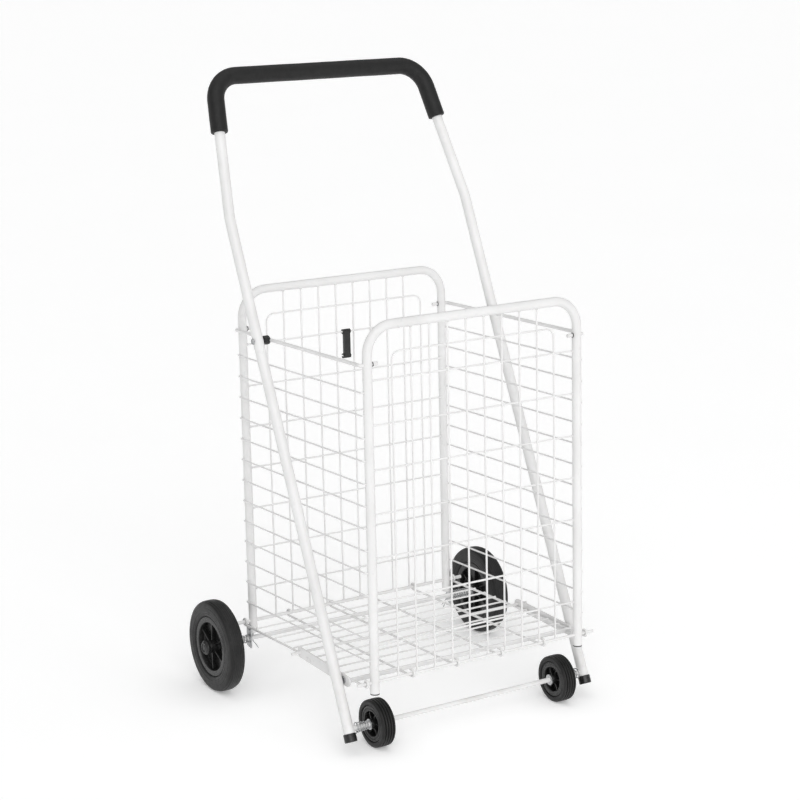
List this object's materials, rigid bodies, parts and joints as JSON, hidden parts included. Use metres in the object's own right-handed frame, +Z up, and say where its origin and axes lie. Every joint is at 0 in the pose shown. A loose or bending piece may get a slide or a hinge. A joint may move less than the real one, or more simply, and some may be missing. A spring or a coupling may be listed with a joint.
{
  "type": "folding shopping trolley",
  "caption": "Folding wire-basket shopping trolley: hinged welded panels, slanted push-handle frame with a foam grip, large rear wheels and small front wheels.",
  "frame": {"origin": "centre of the footprint of the whole open trolley, on the floor", "axes": "+Z up; the trolley is pushed towards -Y, so -Y is its front and the handle is at +Y; +X is across, along the axles"},
  "size_m": [0.576, 0.493, 1.0137],
  "materials": {
    "white_powder_coat": "gloss white powder coat on steel tube and wire",
    "zinc_plate": "bright zinc plating on steel fasteners, springs and brackets",
    "dark_steel": "blackened spring steel push nuts",
    "tyre_rubber": "matte black solid rubber",
    "rim_plastic": "black moulded plastic with a fine satin grain",
    "black_plastic": "black moulded plastic",
    "grip_foam": "matte black foam rubber sleeve"
  },
  "bodies": {
    "rear_frame": {"rear_frame_tube": "white_powder_coat", "rear_panel_mesh": "white_powder_coat", "rear_bottom_rod": "white_powder_coat", "axle_brackets": "zinc_plate", "bracket_rivets": "zinc_plate", "rear_axle": "white_powder_coat", "cotter_pins": "zinc_plate", "rear_axle_washers": "zinc_plate", "rear_wheel_springs": "zinc_plate", "rear_axle_caps": "black_plastic"},
    "top_rails": {"top_rails": "white_powder_coat", "rail_push_nuts": "dark_steel", "pivot_bushes": "black_plastic"},
    "basket_floor": {"floor_grid": "white_powder_coat", "floor_cross_rod": "white_powder_coat"},
    "front_panel": {"front_frame_tube": "white_powder_coat", "front_panel_mesh": "white_powder_coat", "front_bottom_rod": "white_powder_coat", "front_tube_plugs": "black_plastic"},
    "handle_frame": {"handle_tube": "white_powder_coat", "handle_grip": "grip_foam", "foot_caps": "black_plastic", "handle_pivot_bolts": "zinc_plate", "stay_bolts": "zinc_plate", "front_axle": "white_powder_coat", "front_wheel_springs": "zinc_plate", "front_axle_washers": "zinc_plate"},
    "support_bracket": {"stay_bars": "white_powder_coat", "stay_cross_bar": "white_powder_coat", "stay_rivets": "zinc_plate"},
    "closing_clip": {"closing_clip": "black_plastic"},
    "rear_wheel_left": {"rear_tyre_left": "tyre_rubber", "rear_rim_left": "rim_plastic"},
    "front_wheel_left": {"front_tyre_left": "tyre_rubber", "front_rim_left": "rim_plastic"},
    "rear_wheel_right": {"rear_tyre_right": "tyre_rubber", "rear_rim_right": "rim_plastic"},
    "front_wheel_right": {"front_tyre_right": "tyre_rubber", "front_rim_right": "rim_plastic"},
    "side_wire_01": {"side_wire_01": "white_powder_coat"},
    "side_wire_02": {"side_wire_02": "white_powder_coat"},
    "side_wire_03": {"side_wire_03": "white_powder_coat"},
    "side_wire_04": {"side_wire_04": "white_powder_coat"},
    "side_wire_05": {"side_wire_05": "white_powder_coat"},
    "side_wire_06": {"side_wire_06": "white_powder_coat"},
    "side_wire_07": {"side_wire_07": "white_powder_coat"},
    "side_wire_08": {"side_wire_08": "white_powder_coat"},
    "side_wire_09": {"side_wire_09": "white_powder_coat"},
    "side_wire_10": {"side_wire_10": "white_powder_coat"},
    "side_wire_11": {"side_wire_11": "white_powder_coat"},
    "side_wire_12": {"side_wire_12": "white_powder_coat"},
    "side_wire_13": {"side_wire_13": "white_powder_coat"}
  },
  "joints": [
    {"name": "fold", "type": "hinge", "parent": "rear_frame", "child": "basket_floor", "pos_m": [0, 0.14495, 0.10636], "axis": [-1, 0, 0], "range_deg": [0, 78]},
    {"name": "top_rail_pivot", "type": "hinge", "parent": "rear_frame", "child": "top_rails", "pos_m": [0, 0.15871, 0.59897], "axis": [-1, 0, 0], "range_deg": [0, 78]},
    {"name": "front_panel_pivot", "type": "hinge", "parent": "basket_floor", "child": "front_panel", "pos_m": [0, -0.2349, 0.11697], "axis": [-1, 0, 0], "range_deg": [-78, 0]},
    {"name": "handle_pivot", "type": "hinge", "parent": "top_rails", "child": "handle_frame", "pos_m": [0, 0.05008, 0.602], "axis": [-1, 0, 0], "range_deg": [-96.56, 0]},
    {"name": "bracket_pivot", "type": "hinge", "parent": "basket_floor", "child": "support_bracket", "pos_m": [0, -0.04499, 0.1111], "axis": [-1, 0, 0], "range_deg": [-153.66, 0]},
    {"name": "side_wire_01_pivot", "type": "hinge", "parent": "rear_frame", "child": "side_wire_01", "pos_m": [0, 0.14592, 0.14105], "axis": [-1, 0, 0], "range_deg": [0, 78]},
    {"name": "side_wire_02_pivot", "type": "hinge", "parent": "rear_frame", "child": "side_wire_02", "pos_m": [0, 0.14689, 0.17573], "axis": [-1, 0, 0], "range_deg": [0, 78]},
    {"name": "side_wire_03_pivot", "type": "hinge", "parent": "rear_frame", "child": "side_wire_03", "pos_m": [0, 0.14786, 0.21042], "axis": [-1, 0, 0], "range_deg": [0, 78]},
    {"name": "side_wire_04_pivot", "type": "hinge", "parent": "rear_frame", "child": "side_wire_04", "pos_m": [0, 0.14883, 0.2451], "axis": [-1, 0, 0], "range_deg": [0, 78]},
    {"name": "side_wire_05_pivot", "type": "hinge", "parent": "rear_frame", "child": "side_wire_05", "pos_m": [0, 0.1498, 0.27979], "axis": [-1, 0, 0], "range_deg": [0, 78]},
    {"name": "side_wire_06_pivot", "type": "hinge", "parent": "rear_frame", "child": "side_wire_06", "pos_m": [0, 0.15077, 0.31448], "axis": [-1, 0, 0], "range_deg": [0, 78]},
    {"name": "side_wire_07_pivot", "type": "hinge", "parent": "rear_frame", "child": "side_wire_07", "pos_m": [0, 0.15173, 0.34916], "axis": [-1, 0, 0], "range_deg": [0, 78]},
    {"name": "side_wire_08_pivot", "type": "hinge", "parent": "rear_frame", "child": "side_wire_08", "pos_m": [0, 0.1527, 0.38385], "axis": [-1, 0, 0], "range_deg": [0, 78]},
    {"name": "side_wire_09_pivot", "type": "hinge", "parent": "rear_frame", "child": "side_wire_09", "pos_m": [0, 0.15367, 0.41854], "axis": [-1, 0, 0], "range_deg": [0, 78]},
    {"name": "side_wire_10_pivot", "type": "hinge", "parent": "rear_frame", "child": "side_wire_10", "pos_m": [0, 0.15464, 0.45322], "axis": [-1, 0, 0], "range_deg": [0, 78]},
    {"name": "side_wire_11_pivot", "type": "hinge", "parent": "rear_frame", "child": "side_wire_11", "pos_m": [0, 0.15561, 0.48791], "axis": [-1, 0, 0], "range_deg": [0, 78]},
    {"name": "side_wire_12_pivot", "type": "hinge", "parent": "rear_frame", "child": "side_wire_12", "pos_m": [0, 0.15658, 0.5226], "axis": [-1, 0, 0], "range_deg": [0, 78]},
    {"name": "side_wire_13_pivot", "type": "hinge", "parent": "rear_frame", "child": "side_wire_13", "pos_m": [0, 0.15755, 0.55728], "axis": [-1, 0, 0], "range_deg": [0, 78]},
    {"name": "rear_wheel_left_spin", "type": "hinge", "parent": "rear_frame", "child": "rear_wheel_left", "pos_m": [-0.2634, 0.14468, 0.0762], "axis": [1, 0, 0], "continuous": true},
    {"name": "front_wheel_left_spin", "type": "hinge", "parent": "handle_frame", "child": "front_wheel_left", "pos_m": [-0.1738, -0.20839, 0.03815], "axis": [1, 0, 0], "continuous": true},
    {"name": "rear_wheel_right_spin", "type": "hinge", "parent": "rear_frame", "child": "rear_wheel_right", "pos_m": [0.2634, 0.14468, 0.0762], "axis": [1, 0, 0], "continuous": true},
    {"name": "front_wheel_right_spin", "type": "hinge", "parent": "handle_frame", "child": "front_wheel_right", "pos_m": [0.1738, -0.20839, 0.03815], "axis": [1, 0, 0], "continuous": true},
    {"name": "clip_swing", "type": "hinge", "parent": "rear_frame", "child": "closing_clip", "pos_m": [0, 0.1554, 0.57335], "axis": [-1, 0, 0], "range_deg": [-90, 90]}
  ],
  "couplings": [
    {"joint": "top_rail_pivot", "follows": "fold", "ratio": 1},
    {"joint": "front_panel_pivot", "follows": "fold", "ratio": -1},
    {"joint": "handle_pivot", "follows": "fold", "ratio": -1.2378},
    {"joint": "bracket_pivot", "follows": "fold", "ratio": -1.9699},
    {"joint": "side_wire_01_pivot", "follows": "fold", "ratio": 1},
    {"joint": "side_wire_02_pivot", "follows": "fold", "ratio": 1},
    {"joint": "side_wire_03_pivot", "follows": "fold", "ratio": 1},
    {"joint": "side_wire_04_pivot", "follows": "fold", "ratio": 1},
    {"joint": "side_wire_05_pivot", "follows": "fold", "ratio": 1},
    {"joint": "side_wire_06_pivot", "follows": "fold", "ratio": 1},
    {"joint": "side_wire_07_pivot", "follows": "fold", "ratio": 1},
    {"joint": "side_wire_08_pivot", "follows": "fold", "ratio": 1},
    {"joint": "side_wire_09_pivot", "follows": "fold", "ratio": 1},
    {"joint": "side_wire_10_pivot", "follows": "fold", "ratio": 1},
    {"joint": "side_wire_11_pivot", "follows": "fold", "ratio": 1},
    {"joint": "side_wire_12_pivot", "follows": "fold", "ratio": 1},
    {"joint": "side_wire_13_pivot", "follows": "fold", "ratio": 1}
  ]
}
